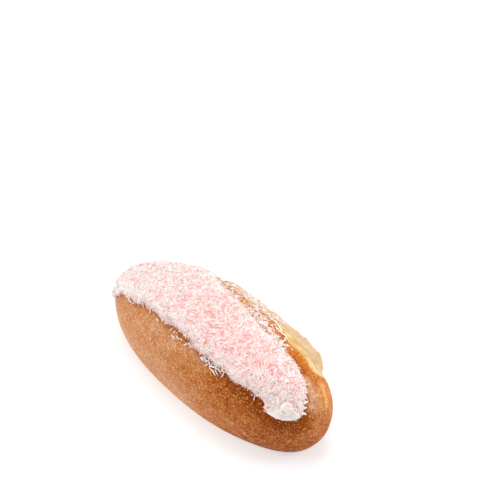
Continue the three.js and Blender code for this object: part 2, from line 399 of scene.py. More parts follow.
# Painted light: where the bare end's crust is made lighter, on the torn side of the icing's tip,
# as if lit from that side.
PAINTED_LIGHT_BANDS = [
    (((30, 14.4), (24.6, 9), (18.4, 4.4), (11.4, -2.2), (4, -8)), 5.5, 0.9),
    (((24.4, 17.8), (18.6, 15.6), (11.4, 13.8), (5.8, 5.6), (-1.2, -1.4)), 5.5, 0.45),
]

# Where the crust is darkest beside the icing: partly darker baking, partly painted shade under the
# icing's edge. The last band is a painted shadow line along the smooth side's edge.
SHADE_AND_DARK_BAKE_BANDS = [
    (((62, -45), (55, -43), (47, -42), (41, -41), (34, -39), (26, -38)), 5.0, 0.6),
    (((24, -36), (18, -28), (18, -20)), 5.0, 0.45),
    (((135, -37), (120, -38), (105, -42), (90, -42), (75, -44), (62, -44)), 2.4, 0.8),
]


def band_distance(points, ends):
    """How far points are from a line through some places on the crust, in mm."""
    line = crust_at(*np.array(ends, dtype=float).T)
    away = np.full(points.shape[:-1], 1e9)
    for a, b in zip(line, line[1:]):
        share = np.clip((points - a) @ (b - a) / ((b - a) @ (b - a)), 0, 1)
        away = np.minimum(away, np.linalg.norm(points - a - share[..., None] * (b - a), axis=-1))
    return away


def band_cover(points, bands, edge=2):
    """How strongly any of some bands covers points of the crust. A higher edge is sharper."""
    cover = np.zeros(points.shape[:-1])
    for ends, reach, strength in bands:
        away = band_distance(points, ends)
        cover = np.maximum(cover, strength * np.exp(-((away / reach) ** edge)))
    return cover


def torn_cover(points, along, height):
    """How far points lie in the torn side's skin, and in its open crumb, from 0 to 1."""
    edge = np.interp(along, TORN_EDGE["along"], TORN_EDGE["out"])
    beyond = points[..., 1] - edge
    beyond = beyond + SKIN["uneven"] * cloud(points * SKIN["stretch"], SKIN["pitch"], 2)
    patch, ragged = TORN_PATCH, TORN_PATCH["ragged"]
    within = smooth(along, *patch["far_end"]) * (1 - smooth(along, *patch["near_end"]))
    lengthwise = np.abs(along - patch["middle"]) / patch["half"]
    downward = np.maximum(0, patch["square_over"] - height) / patch["depth"]
    outline = (lengthwise ** patch["blunt"] + downward ** patch["blunt"]) ** (1 / patch["blunt"])
    rough = ragged["size"] * cloud(points, ragged["pitch"], 3)
    outline = outline + rough * smooth(downward, 0, 0.5)
    within = within * (1 - smooth(outline, *patch["rim"]))
    skin = smooth(beyond, *SKIN["beyond"]) * within
    deeper = beyond + CRUMB["uneven"] * cloud(points, CRUMB["pitch"], 2)
    return skin, smooth(deeper, *CRUMB["beyond"]) * within


def crust_relief(points, crumb):
    """How far the surface rises over the plain shape, in mm: crumb, or wrinkles and dents."""
    fibres = cloud(points * FIBRES["stretch"], FIBRES["pitch"], 2)
    coarse = cloud(points * COARSE_FIBRES["stretch"], COARSE_FIBRES["pitch"])
    fibres = fibres + COARSE_FIBRES["share"] * coarse
    holes = -np.maximum(0, cloud(points, HOLES["pitch"], 2) - HOLES["least"])
    inside = FIBRES["height"] * fibres + HOLES["depth"] * holes - CRUMB_SUNK
    wrinkles = 1 - 2 * np.abs(cloud(points * WRINKLES["stretch"], WRINKLES["pitch"], 2))
    outside = WRINKLES["height"] * wrinkles + DENTS["height"] * cloud(points, DENTS["pitch"], 2)
    return crumb * inside + (1 - crumb) * outside


def baking_and_shading(points, along, height):
    """How dark the crust is, from its bake with painted shade and painted light, and how far it
    turned golden on the torn side's shoulder.
    """
    top, bare_end, low_rim = BAKE_AND_SHADING["top"], BAKE_AND_SHADING["bare_end"], BAKE_AND_SHADING["low_rim"]
    bake = BAKE_AND_SHADING["least"] + top["adds"] * smooth(height, *top["height"])
    bake += bare_end["adds"] * smooth(along, *bare_end["along"])
    low = 1 - smooth(height, *low_rim["height"])
    bake += low * mix(*low_rim["adds"], smooth(along, *low_rim["along"]))
    shoulder = smooth(points[..., 1], *SHOULDER["out"]) * smooth(height, *SHOULDER["height"])
    far, end = SHOULDER["far"], SHOULDER["bare_end"]
    shoulder = shoulder * mix(far["share"], 1, smooth(along, *far["along"]))
    bake -= BAKE_AND_SHADING["shoulder"]["takes"] * shoulder
    # Painted shade under the icing's edge, partly darker baking.
    bake += BAKE_AND_SHADING["bands"]["dark"] * band_cover(points, SHADE_AND_DARK_BAKE_BANDS)
    # Painted light on the bare end, on the torn side of the icing's tip.
    bake -= BAKE_AND_SHADING["bands"]["light"] * band_cover(points, PAINTED_LIGHT_BANDS)
    bake += BAKE_AND_SHADING["uneven"]["size"] * cloud(points, BAKE_AND_SHADING["uneven"]["pitch"], 2)
    return bake, shoulder * mix(1, end["share"], smooth(along, *end["along"]))


def build_crust():
    directions = crust_grid()
    points = crust_point(directions)
    normals = grid_normals(points)
    along = points[..., 0] / (LENGTH / 2)
    height = points[..., 2] / HEIGHT
    pale, crumb = torn_cover(points, along, height)
    relief = crust_relief(points, crumb) * smooth(points[..., 2], 0, FLAT_FOOT)
    points = points + normals * relief[..., None]
    points[..., 2] = np.maximum(points[..., 2], 0)
    bake, gold = baking_and_shading(points, along, height)
    clumps = CLUMPS["mean"] + CLUMPS["uneven"] * cloud(points, CLUMPS["pitch"], 2)
    clumps = np.clip(clumps, 0, CLUMPS["most"])
    poles = crust_point(np.array([[1.0, 0, 0], [-1.0, 0, 0]]))

    rows, columns = points.shape[:2]
    faces = grid_faces(rows, columns, wrap=True)
    last = (rows - 1) * columns
    near_pole, far_pole = rows * columns, rows * columns + 1
    for k in range(columns):
        after = (k + 1) % columns
        faces.append([near_pole, after, k])
        faces.append([far_pole, last + k, last + after])
    faces = [face[::-1] for face in faces]
    ends = lambda values: np.append(values.ravel(), [values[0].mean(), values[-1].mean()])
    return mesh_object(
        "bun_crust",
        np.concatenate([points.reshape(-1, 3), poles]),
        faces,
        pale=ends(pale),
        crumb=ends(crumb),
        bake=ends(bake),
        gold=ends(gold),
        dust=ends(band_cover(points, DUST_AND_SHEEN_BANDS)),
        streak=ends(band_cover(points, GOLDEN_BANDS)),
        loose=ends(band_cover(points, LOOSE_BANDS, edge=LOOSE_EDGE) * clumps),
    )


# ---- Icing -----------------------------------------------------------------------------------

ICING_ROWS, ICING_COLUMNS = ((280, 90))
WALL_ROWS = 3
RIM_CROWDING = 0.5

# The icing under its coat: its least height, where it is thick enough for the whole coat, and how
# uneven it is, in mm.
LEAST_HEIGHT = 0.35
WHOLE_COAT_FROM = 2.5
UNEVEN = {"size": 0.28, "pitch": 4.5, "height": (0.4, 2)}
WALL_SWELL = 0.45

# Smooth lumps of icing: place on the disc along and across, radius and height in mm.
ICING_BLOBS = [
    (0.88, 0.004, 2.9, 1.3),
    (0.9, -0.24, 2.4, 0.7),
    (0.93, 0.2, 1.8, 0.5),
    (0.8, -0.36, 2.2, 0.6),
]

# How thick the coconut lies, as a share of the usual: uneven all over, then thicker or thinner
# where it is told. Places are shares of the bun's half length, or of the icing's disc, whose rim
# is at 1.
COAT = {
    "fine": {"size": 1.1, "pitch": 1.7},
    "coarse": {"size": 0.5, "pitch": 7},
    "limits": (0.35, 2.6),
    "far": {"share": 1.8, "along": (-0.65, 0.05)},
    "edge": {"share": 1.3, "rim": (0.6, 0.9)},
    "bare": {"share": 0.015, "tip": (0.76, 0.86), "round": 0.2, "slant": 0.12},
}
WHITE = {"middle": 0.9, "edge": 1.6}  # the top layer, whiter at the edges
STRAY = {"far": 1.7, "near": 0.6, "along": (-0.5, 0.2)}
LARGE = {"tip": (0.4, 0.7), "uneven": 1.6, "pitch": 4, "limits": (0.2, 2)}
FRINGE = {"rim": (0.93, 0.99), "at_tip": 0.05, "tip": (0.6, 0.78), "round": 0.25}

# The same on the icing's side wall: along the bun, and at the bare tip.
WALL_COVERS = {
    "coat": (0.7, 0.05),
    "white": (0.7, 0.05),
    "stray": (0, 0),
    "large": (0, 0),
    "fringe": (0.45, 0.03),
    "bare": (0, 1),
}


def coconut_covers(x, y, base):
    """How thick each layer of coconut lies, and how bare the icing is, over its disc."""
    fine, coarse, far, edge, bare = (COAT[k] for k in ("fine", "coarse", "far", "edge", "bare"))
    coat = 1 + fine["size"] * cloud(base, fine["pitch"], 2)
    coat = coat + coarse["size"] * cloud(base, coarse["pitch"])
    share_along = base[..., 0] / (LENGTH / 2)
    coat = coat * mix(far["share"], 1, smooth(share_along, *far["along"]))
    rim = np.hypot(x, y)
    at_edge = smooth(rim, *edge["rim"])
    coat = np.clip(coat, *COAT["limits"]) * mix(1, edge["share"], at_edge)
    at_tip = smooth(x - bare["round"] * y * y - bare["slant"] * y, *bare["tip"])
    coat = coat * mix(1, bare["share"], at_tip)
    patches = np.clip(1 + LARGE["uneven"] * cloud(base, LARGE["pitch"], 2), *LARGE["limits"])
    plain = smooth(x - FRINGE["round"] * y * y, *FRINGE["tip"])
    return {
        "coat": coat,
        "white": coat * mix(WHITE["middle"], WHITE["edge"], at_edge),
        "stray": coat * mix(STRAY["far"], STRAY["near"], smooth(share_along, *STRAY["along"])),
        "large": smooth(x, *LARGE["tip"]) * (1 - at_tip) * patches,
        "fringe": smooth(rim, *FRINGE["rim"]) * mix(1, FRINGE["at_tip"], plain),
        "bare": at_tip,
    }


def build_icing():
    u = np.linspace(-1, 1, ICING_ROWS)
    v = np.linspace(-1, 1, ICING_COLUMNS)
    crowd = lambda share: mix(share, np.sin(share * math.pi / 2), RIM_CROWDING)
    u, v = np.meshgrid(crowd(u), crowd(v), indexing="ij")
    x, y = u * np.sqrt(1 - v * v / 2), v * np.sqrt(1 - u * u / 2)
    along, across = icing_place(x, y)
    base = crust_at(along, across)
    normal = crust_normal(along, across)

    full = icing_height(x, y, ICING_THICKNESS)
    height = full - COAT_DEPTH * np.minimum(1, full / WHOLE_COAT_FROM)
    height = np.maximum(height, LEAST_HEIGHT)
    lumps = UNEVEN["size"] * cloud(base, UNEVEN["pitch"], 2)
    height += lumps * smooth(height, *UNEVEN["height"])
    for blob_x, blob_y, radius, rise in ICING_BLOBS:
        centre = crust_at(*icing_place(np.array(blob_x), np.array(blob_y)))
        away = np.linalg.norm(base - centre, axis=-1) / radius
        height += rise * np.sqrt(np.clip(1 - away**2, 0, 1))
    top = base + normal * (GAP + height)[..., None]
    under = base + normal * GAP

    # Top grid, then the same outline again for the wall's rows and the underside.
    rows, columns = x.shape
    index = np.arange(rows * columns).reshape(rows, columns)
    outline = np.concatenate(
        [index[:-1, 0], index[-1, :-1], index[:0:-1, -1], index[0, :0:-1]]
    )
    top_rim, under_rim = top.reshape(-1, 3)[outline], under.reshape(-1, 3)[outline]
    rim_out = unit(top_rim - np.roll(top_rim, 1, axis=0))
    rim_out = np.cross(rim_out, normal.reshape(-1, 3)[outline])
    wall = []
    for row in range(1, WALL_ROWS):
        share = row / WALL_ROWS
        swell = WALL_SWELL * math.sin(math.pi * share)
        wall.append(mix(top_rim, under_rim, share) + rim_out * swell)
    points = [top.reshape(-1, 3), under.reshape(-1, 3), *wall]
    grid = rows * columns
    faces = [face[::-1] for face in grid_faces(rows, columns)]
    faces += [[corner + grid for corner in face] for face in grid_faces(rows, columns)]
    rings = [outline]
    rings += [2 * grid + row * len(outline) + np.arange(len(outline)) for row in range(len(wall))]
    rings += [outline + grid]
    for above, below in zip(rings, rings[1:]):
        quads = [above, np.roll(above, -1), np.roll(below, -1), below]
        faces += np.stack(quads, axis=-1).tolist()

    # Coconut lies on the top and on the wall, and none on the underside.
    covers = coconut_covers(x, y, base)
    at_tip = covers["bare"].ravel()[outline]
    values = {}
    for name, cover in covers.items():
        on_wall = [mix(*WALL_COVERS[name], at_tip)] * len(wall)
        values[name] = np.concatenate([cover.ravel(), 0 * cover.ravel(), *on_wall])
    return mesh_object("icing_tongue", np.concatenate(points), faces, **values)


# ---- Trees of nodes --------------------------------------------------------------------------


class Nodes:
    """Adds nodes to a tree, and joins or sets their inputs by name or number."""

    def __init__(self, tree):
        self.tree = tree

    def __call__(self, kind, inputs=(), **settings):
        made = self.tree.nodes.new(kind)
        for name, value in settings.items():
            setattr(made, name, value)
        for key, value in dict(inputs).items():
            self.join(value, made.inputs[key])
        return made

    def join(self, value, socket):
        if isinstance(value, bpy.types.NodeSocket):
            self.tree.links.new(value, socket)
        else:
            socket.default_value = value

    def sum(self, a, b):
        return self("ShaderNodeMath", {0: a, 1: b}, operation="ADD").outputs[0]

    def times(self, a, b):
        return self("ShaderNodeMath", {0: a, 1: b}, operation="MULTIPLY").outputs[0]


# ---- Coconut ---------------------------------------------------------------------------------

SHRED_KINDS = 8
SEED_STEP = 101.0  # between the seeds of one layer's random draws
SHRED_TAPERS = ((0.5, 1.0, 0.6), (0.75, 1.0, 0.4), (0.6, 0.9, 0.8))
SHRED_CURVES = (1.0, 0.7, 0.9)  # the most that a shred is bent, arched and twisted
SIDE_TILT, FULL_TURN = 0.35, 6.2832  # radians
FLATNESS = 0.32  # thickness of a shred, as a share of its width
SHRED_CORNERS = ((-0.5, -0.5), (0.5, -0.5), (0.5, 0.5), (-0.5, 0.5))


def strip(tapers, bend=0.0, rise=0.0, twist=0.0):
    """Points and faces of a strip cut square, 1 mm long, wide and thick before it is scaled."""
    points = []
    for k, girth in enumerate(tapers):
        share = k / (len(tapers) - 1)
        arch = 4 * share * (1 - share) - 0.5
        turn = twist * (share - 0.5)
        for across, up in SHRED_CORNERS:
            y = across * math.cos(turn) - up * math.sin(turn)
            z = across * math.sin(turn) + up * math.cos(turn)
            points.append((share - 0.5, bend * arch + girth * y, rise * arch + girth * z))
    last = 4 * (len(tapers) - 1)
    caps = [[3, 2, 1, 0], [last, last + 1, last + 2, last + 3]]
    return np.array(points), grid_faces(len(tapers), 4, wrap=True) + caps


def shred_kinds():
    """A collection of bent shreds to choose from."""
    kinds = bpy.data.collections.new("shred_kinds")
    random = np.random.default_rng(5)
    for number in range(SHRED_KINDS):
        bend, rise, twist = random.uniform(-1, 1, 3) * SHRED_CURVES
        points, faces = strip(SHRED_TAPERS[number % len(SHRED_TAPERS)], bend, rise, twist)
        mesh = bpy.data.meshes.new(f"shred_{number}")
        mesh.from_pydata((points * MM).tolist(), [], faces)
        kinds.objects.link(bpy.data.objects.new(mesh.name, mesh))
    return kinds


# The numbers of a layer of strewn shreds: how many, then the ends of each range that the length,
# width, lean, height over the surface and pinkness of a shred are drawn from.
LAYER_NUMBERS = (
    "Per square metre",
    "Shortest",
    "Longest",
    "Thinnest",
    "Thickest",
    "Least lean",
    "Most lean",
    "Lowest",
    "Highest",
    "Palest",
    "Pinkest",
)

# The layers: cover, seed and shreds per square metre, then the ranges of length and width in mm,
# the most lean to either side in radians, and the ranges of height in mm and of pinkness.
LAYERS = {
    "coconut_lower": ("coat", 3, 1.0e6, (1.2, 3.0), (0.32, 0.55), 0.05, (0.0, 0.1), (0.6, 1.0)),
    "coconut_middle": ("coat", 7, 0.9e6, (1.2, 3.0), (0.3, 0.52), 0.08, (0.05, 0.2), (0.3, 0.75)),
    "coconut_upper": ("white", 13, 0.72e6, (1.4, 3.4), (0.34, 0.56), 0.15, (0.1, 0.3), (0.0, 0.14)),
    "coconut_stray": ("stray", 29, 0.08e6, (1.8, 3.2), (0.36, 0.6), 0.75, (0.3, 0.6), (0.0, 0.1)),
    "coconut_large": ("large", 37, 0.1e6, (1.8, 4.0), (0.6, 1.0), 0.1, (0.2, 0.45), (0.0, 0.35)),
    "coconut_fringe": ("fringe", 19, 2.6e6, (1.5, 4.0), (0.32, 0.58), 0.8, (0.0, 0.6), (0.0, 0.3)),
    "coconut_loose": ("loose", 11, 0.95e6, (1.3, 3.6), (0.32, 0.58), 0.3, (0.1, 0.6), (0.0, 0.12)),
}


def strewing_tree():
    """Strews shreds over the faces of a mesh and turns the result into plain mesh."""
    tree = bpy.data.node_groups.new("strewn_shreds", "GeometryNodeTree")
    sockets = {"Surface": "Geometry", "Shred kinds": "Collection", "Cover": "String", "Seed": "Int"}
    sockets |= {name: "Float" for name in LAYER_NUMBERS} | {"Finish": "Material"}
    for name, kind in sockets.items():
        tree.interface.new_socket(name, in_out="INPUT", socket_type="NodeSocket" + kind)
    tree.interface.new_socket("Shreds", in_out="OUTPUT", socket_type="NodeSocketGeometry")
    add = Nodes(tree)
    given = add("NodeGroupInput").outputs
    seeds = itertools.count(SEED_STEP, SEED_STEP)

    def seed():
        return add.sum(given["Seed"], next(seeds))

    def between(low, high):
        made = add("FunctionNodeRandomValue", {2: low, 3: high, 8: seed()}, data_type="FLOAT")
        return made.outputs[1]

    cover = add("GeometryNodeInputNamedAttribute", {0: given["Cover"]}, data_type="FLOAT")
    spread = add(
        "GeometryNodeDistributePointsOnFaces",
        {
            "Mesh": given["Surface"],
            "Density": add.times(cover.outputs[0], given["Per square metre"]),
            "Seed": given["Seed"],
        },
        distribute_method="RANDOM",
    )
    lift = add(
        "ShaderNodeVectorMath",
        {0: spread.outputs["Normal"], "Scale": between(given["Lowest"], given["Highest"])},
        operation="SCALE",
    )
    lifted = add(
        "GeometryNodeSetPosition",
        {"Geometry": spread.outputs["Points"], "Offset": lift.outputs[0]},
    )
    kinds = add(
        "GeometryNodeCollectionInfo",
        {"Collection": given["Shred kinds"], "Separate Children": True, "Reset Children": True},
    )
    tilt = between(-SIDE_TILT, SIDE_TILT)
    lean = between(given["Least lean"], given["Most lean"])
    turned = add("ShaderNodeCombineXYZ", {0: tilt, 1: lean, 2: between(0.0, FULL_TURN)})
    turned = add("FunctionNodeEulerToRotation", {0: turned.outputs[0]})
    turned = add(
        "FunctionNodeRotateRotation",
        {0: spread.outputs["Rotation"], 1: turned.outputs[0]},
        rotation_space="LOCAL",
    )
    girth = between(given["Thinnest"], given["Thickest"])
    size = add(
        "ShaderNodeCombineXYZ",
        {0: between(given["Shortest"], given["Longest"]), 1: girth, 2: add.times(girth, FLATNESS)},
    )
    which = add(
        "FunctionNodeRandomValue", {4: 0, 5: SHRED_KINDS - 1, 8: seed()}, data_type="INT"
    )
    laid = add(
        "GeometryNodeInstanceOnPoints",
        {
            "Points": lifted.outputs[0],
            "Instance": kinds.outputs[0],
            "Pick Instance": True,
            "Instance Index": which.outputs[2],
            "Rotation": turned.outputs[0],
            "Scale": size.outputs[0],
        },
    )
    stained = add(
        "GeometryNodeStoreNamedAttribute",
        {
            "Geometry": laid.outputs[0],
            "Name": "pink",
            "Value": between(given["Palest"], given["Pinkest"]),
        },
        data_type="FLOAT",
        domain="INSTANCE",
    )
    whole = add("GeometryNodeRealizeInstances", {0: stained.outputs[0]})
    finished = add(
        "GeometryNodeSetMaterial", {"Geometry": whole.outputs[0], "Material": given["Finish"]}
    )
    add("NodeGroupOutput", {0: finished.outputs[0]})
    return tree


def strewn(name, surface, tree, kinds, finish):
    """A plain mesh of the shreds that the tree strews over a surface."""
    cover, seed, number, length, width, lean, height, pink = LAYERS[name]
    height = [end * MM for end in height]
    numbers = zip(LAYER_NUMBERS, (number, *length, *width, -lean, lean, *height, *pink))
    inputs = {"Shred kinds": kinds, "Cover": cover, "Seed": seed, "Finish": finish}
    inputs |= dict(numbers)
    made = bpy.data.objects.new(name, surface.data.copy())
    scene.collection.objects.link(made)
    modifier = made.modifiers.new("strewn shreds", "NODES")
    modifier.node_group = tree
    for item in tree.interface.items_tree:
        if item.name in inputs:
            modifier[item.identifier] = inputs[item.name]
    graph = bpy.context.evaluated_depsgraph_get()
    mesh = bpy.data.meshes.new_from_object(made.evaluated_get(graph))
    made.modifiers.clear()
    made.data = mesh
    mesh.name = name
    return made


# The large flakes about the icing's near tip: the degrees along and across of both ends, then
# width, thickness, and how high each end lies over the crust, in mm.
FLAKES = [
    ((27.2, -17.5), (24.3, -12.0), 1.2, 0.6, (2.2, 0.9)),
    ((37.3, -31.0), (34.2, -27.8), 1.9, 0.5, (1.9, 3.2)),
    ((26.4, -24.5), (26.5, -18.7), 1.0, 0.5, (2.2, 2.3)),
    ((37.6, -31.1), (35.5, -25.6), 0.8, 0.5, (2.2, 3.6)),
    ((26.8, -31.8), (25.6, -29.0), 0.9, 0.5, (0.8, 1.3)),
    ((25.6, -24.9), (22.7, -23.9), 0.9, 0.5, (1.3, 0.7)),
    ((31.5, -24.3), (27.7, -25.9), 1.1, 0.5, (3.5, 2.8)),
    ((34.3, -13.6), (28.9, -14.9), 1.0, 0.5, (3.6, 2.8)),
    ((32.0, -10.1), (31.6, -5.8), 0.9, 0.5, (3.0, 1.9)),
    ((28.9, -12.5), (29.1, -9.2), 0.8, 0.5, (2.4, 1.6)),
    ((33.1, -32.0), (28.0, -31.8), 1.1, 0.5, (2.0, 1.6)),
    ((39.1, -24.3), (34.7, -26.2), 1.0, 0.5, (4.2, 3.8)),
    ((30.2, -27.7), (25.9, -25.5), 1.0, 0.5, (2.8, 2.0)),
]
FLAKE_TAPER = (0.45, 0.9, 1.0, 0.8, 0.3)

# Single shreds that lie on the crust or hang over the icing's edge: the degrees along and across
# of both ends, then width, and how high each end lies over the crust, in mm.
SINGLE_THICKNESS = 0.3
SINGLES = [
    ((77.4, -45.6), (74.4, -46.4), 1.19, (0.5, 0.4)),
    ((73.8, -44.6), (72.4, -45.6), 0.59, (0.6, 0.3)),
    ((69.8, -46.4), (66.2, -42.6), 0.77, (0.4, 1.0)),
    ((67.8, -47.6), (65.0, -47.0), 0.59, (0.4, 0.4)),
    ((65.6, -47.6), (61.8, -49.0), 0.51, (0.6, 0.3)),
    ((65.8, -44.8), (61.6, -47.2), 0.51, (0.9, 0.3)),
    ((65.8, -42.6), (62.0, -44.0), 0.51, (1.1, 0.4)),
    ((64.4, -41.2), (62.0, -40.4), 0.59, (1.1, 0.6)),
    ((62.2, -40.8), (59.8, -46.2), 0.59, (1.0, 0.3)),
    ((57.2, -38.8), (54.6, -38.8), 0.68, (1.2, 0.6)),
    ((115.6, -41.2), (113.4, -43.4), 0.51, (0.4, 0.3)),
    ((110.8, -39.6), (109.6, -41.4), 0.51, (0.9, 0.3)),
    ((108.0, -41.8), (105.6, -39.6), 0.51, (0.4, 0.9)),
    ((103.0, -44.4), (101.6, -40.6), 0.51, (0.3, 1.0)),
    ((100.0, -43.8), (99.4, -41.0), 0.51, (0.3, 1.0)),
    ((98.8, -43.0), (97.6, -41.8), 0.51, (0.3, 0.8)),
    ((101.2, -47.0), (98.2, -48.0), 0.51, (0.4, 0.3)),
    ((97.8, -44.8), (95.2, -46.2), 0.51, (0.4, 0.3)),
    ((94.6, -44.4), (93.0, -45.0), 0.59, (0.4, 0.3)),
    ((89.8, -47.4), (89.0, -44.4), 0.51, (0.3, 0.8)),
    ((87.8, -45.2), (88.4, -42.2), 0.51, (0.3, 1.0)),
    ((86.6, -46.0), (86.2, -43.0), 0.51, (0.3, 1.0)),
    ((85.0, -45.0), (85.8, -41.4), 0.51, (0.3, 1.0)),
    ((142.8, -33.2), (140.0, -37.8), 0.85, (1.3, 0.4)),
    ((136.6, -32.4), (135.8, -35.8), 0.77, (1.3, 0.6)),
    ((139.4, -38.6), (136.0, -36.6), 0.51, (0.3, 0.6)),
    ((133.4, -32.2), (134.8, -37.0), 0.77, (1.3, 0.4)),
    ((131.2, -34.4), (130.2, -36.6), 0.51, (1.1, 0.4)),
    ((127.6, -33.8), (127.2, -37.6), 0.59, (1.1, 0.3)),
    ((124.2, -34.2), (122.4, -37.6), 0.59, (1.2, 0.4)),
    ((119.8, -33.4), (121.4, -40.8), 0.59, (1.3, 0.3)),
    ((112.2, -35.8), (110.8, -39.2), 0.77, (1.2, 0.6)),
    ((109.6, -36.8), (110.6, -41.2), 0.59, (1.1, 0.4)),
    ((43.2, -36.4), (39.4, -39.6), 0.45, (1.2, 0.4)),
    ((44.8, -36.6), (43.2, -38.8), 0.4, (1.2, 0.5)),
    ((71.0, 36.2), (68.6, 35.0), 0.59, (0.4, 0.4)),
    ((68.4, 34.6), (66.2, 32.6), 0.85, (0.5, 0.5)),
    ((67.4, 31.0), (65.0, 28.2), 0.68, (0.4, 0.5)),
    ((66.2, 32.4), (64.4, 28.6), 0.77, (0.6, 0.5)),
    ((65.0, 29.0), (62.6, 28.0), 0.77, (0.5, 0.5)),
    ((63.8, 28.0), (61.4, 28.6), 0.68, (0.5, 0.4)),
    ((62.0, 28.4), (60.4, 26.0), 0.59, (0.4, 0.4)),
    ((61.8, 26.0), (60.6, 23.4), 0.59, (0.4, 0.4)),
    ((60.6, 24.2), (61.4, 19.8), 0.59, (0.4, 0.8)),
    ((70.6, 29.2), (68.6, 29.2), 0.59, (0.8, 0.4)),
    ((70.6, 30.6), (68.8, 33.2), 0.51, (0.5, 0.4)),
    ((68.6, 32.2), (66.8, 28.8), 0.51, (0.4, 0.4)),
    ((68.6, 27.2), (67.2, 26.6), 0.59, (0.8, 0.4)),
    ((74.6, 32.0), (72.4, 32.6), 0.68, (0.6, 0.5)),
    ((74.4, 36.6), (71.4, 35.4), 0.68, (0.5, 0.5)),
    ((73.8, 27.6), (72.0, 28.2), 0.68, (1.0, 0.6)),
    ((59.2, 17.8), (58.2, 20.6), 0.59, (0.9, 0.4)),
    ((59.2, 20.8), (57.4, 21.2), 0.51, (0.4, 0.4)),
    ((56.6, 20.6), (55.2, 19.6), 0.51, (0.4, 0.3)),
]
SINGLE_TAPER = (0.6, 1.0, 0.95, 0.6)

# How placed shreds and flakes are bent and arched, as shares of their width and thickness, and
# how pink they are.
PLACED_BEND, PLACED_RISE, PLACED_PINK = 0.35, 0.25, 0.04


def placed_shreds(name, rows, taper):
    """Shreds placed one by one, each bent a little to follow what it lies on."""
    points, faces = [], []
    for number, (start, end, width, thickness, lift) in enumerate(rows):
        ends = np.array([start, end], dtype=float)
        feet, ups = crust_at(*ends.T), crust_normal(*ends.T)
        a, b = feet + ups * np.array(lift)[:, None]
        ahead = unit(b - a)
        side = unit(np.cross(ups.mean(axis=0), ahead))
        shape, cover = strip(taper, bend=PLACED_BEND * (-1) ** number, rise=PLACED_RISE)
        shape = shape * (np.linalg.norm(b - a), width, thickness)
        shape = (a + b) / 2 + shape @ np.array([ahead, side, np.cross(ahead, side)])
        faces += [[corner + len(points) * len(shape) for corner in face] for face in cover]
        points.append(shape)
    points = np.concatenate(points)
    made = mesh_object(name, points, faces, pink=np.full(len(points), PLACED_PINK))
    made.data.shade_flat()
    return made


# ---- Finishes --------------------------------------------------------------------------------


def colour(red, green, blue):
    """A colour given as it looks on a screen, from 0 to 255."""
    parts = [part / 255 for part in (red, green, blue)]
    linear = [p / 12.92 if p <= 0.04045 else ((p + 0.055) / 1.055) ** 2.4 for p in parts]
    return (*linear, 1)


class Finish(Nodes):
    """A material whose pattern is on Object coordinates, with pitches given in mm."""

    def __init__(self, name):
        self.material = bpy.data.materials.new(name)
        self.material.use_nodes = True
        super().__init__(self.material.node_tree)
        self.tree.nodes.clear()
        self.place = self("ShaderNodeTexCoord").outputs["Object"]

    def value(self, name):
        return self("ShaderNodeAttribute", attribute_name=name).outputs["Fac"]

    def stretched(self, *scale):
        return self("ShaderNodeMapping", {"Vector": self.place, "Scale": scale}).outputs[0]

    def noise(self, pitch, detail=2.0, rough=0.5, warp=0.0, place=None):
        made = self(
            "ShaderNodeTexNoise",
            {
                "Vector": place or self.place,
                "Scale": 1 / (pitch * MM),
                "Detail": detail,
                "Roughness": rough,
                "Distortion": warp,
            },
        )
        return made.outputs["Fac"]

    def cells(self, pitch, place=None):
        return self(
            "ShaderNodeTexVoronoi", {"Vector": place or self.place, "Scale": 1 / (pitch * MM)}
        )

    def range(self, value, low, high, to_low=0.0, to_high=1.0):
        """A value's range from low to high, taken to another range."""
        made = self(
            "ShaderNodeMapRange",
            {0: value, 1: low, 2: high, 3: to_low, 4: to_high},
            interpolation_type="SMOOTHSTEP",
        )
        return made.outputs[0]

    def ramp(self, value, stops):
        """Colours at places from 0 to 1."""
        made = self("ShaderNodeValToRGB", {0: value})
        elements = made.color_ramp.elements
        while len(elements) < len(stops):
            elements.new(0.5)
        for element, (place, shade) in zip(elements, stops.items()):
            element.position, element.color = place, colour(*shade)
        return made.outputs[0]

    def spread(self, value, to_low=0.0, to_high=1.0):
        """A noise's usual range, taken to another range."""
        return self.range(value, 0.3, 0.7, to_low, to_high)

    def some(self, cells, output, least, blur):
        """1 in some of the cells and 0 in the others."""
        kept = self("ShaderNodeSeparateColor", {0: cells.outputs["Color"]}).outputs[output]
        return self.range(kept, least, least + blur)

    def blend(self, share, a, b):
        made = self("ShaderNodeMix", {0: share, 6: a, 7: b}, data_type="RGBA")
        return made.outputs[2]

    def bump(self, height, depth, under=None):
        """A bump whose height runs from 0 to 1 over a depth in mm."""
        inputs = {"Height": height, "Distance": depth * MM}
        if under:
            inputs["Normal"] = under
        return self("ShaderNodeBump", inputs).outputs[0]

    def surface(self, inputs):
        shader = self("ShaderNodeBsdfPrincipled", inputs)
        self("ShaderNodeOutputMaterial", {0: shader.outputs[0]})
        return self.material


# Colours of the crust by how dark it is baked, and of its torn side. The pale, pinkish end of the
# baked colours is partly a painted sheen on the far flank.
BAKED = {
    0.0: (217, 168, 122),
    0.25: (202, 146, 106),
    0.5: (190, 119, 64),
    0.75: (170, 87, 27),
    1.0: (130, 53, 8),
}
GOLDEN = {0.0: (232, 168, 92), 0.35: (214, 132, 52), 0.65: (188, 100, 30), 1.0: (150, 68, 12)}
INSIDE = {0.0: (206, 152, 80), 0.5: (214, 178, 120), 1.0: (226, 206, 160)}
TURNING = {0.0: (196, 108, 36), 0.45: (214, 150, 78), 1.0: (218, 180, 122)}

# Tiny pale blisters, one in some of the cells of each size: the cells' pitch in mm, the blister's
# reach and the share of empty cells, both from 0 to 1, and its strength.
BLISTERS = [
    (4.2, 0.12, 0.35, 1.0),
    (2.3, 0.15, 0.4, 0.95),
    (1.4, 0.22, 0.4, 0.7),
]


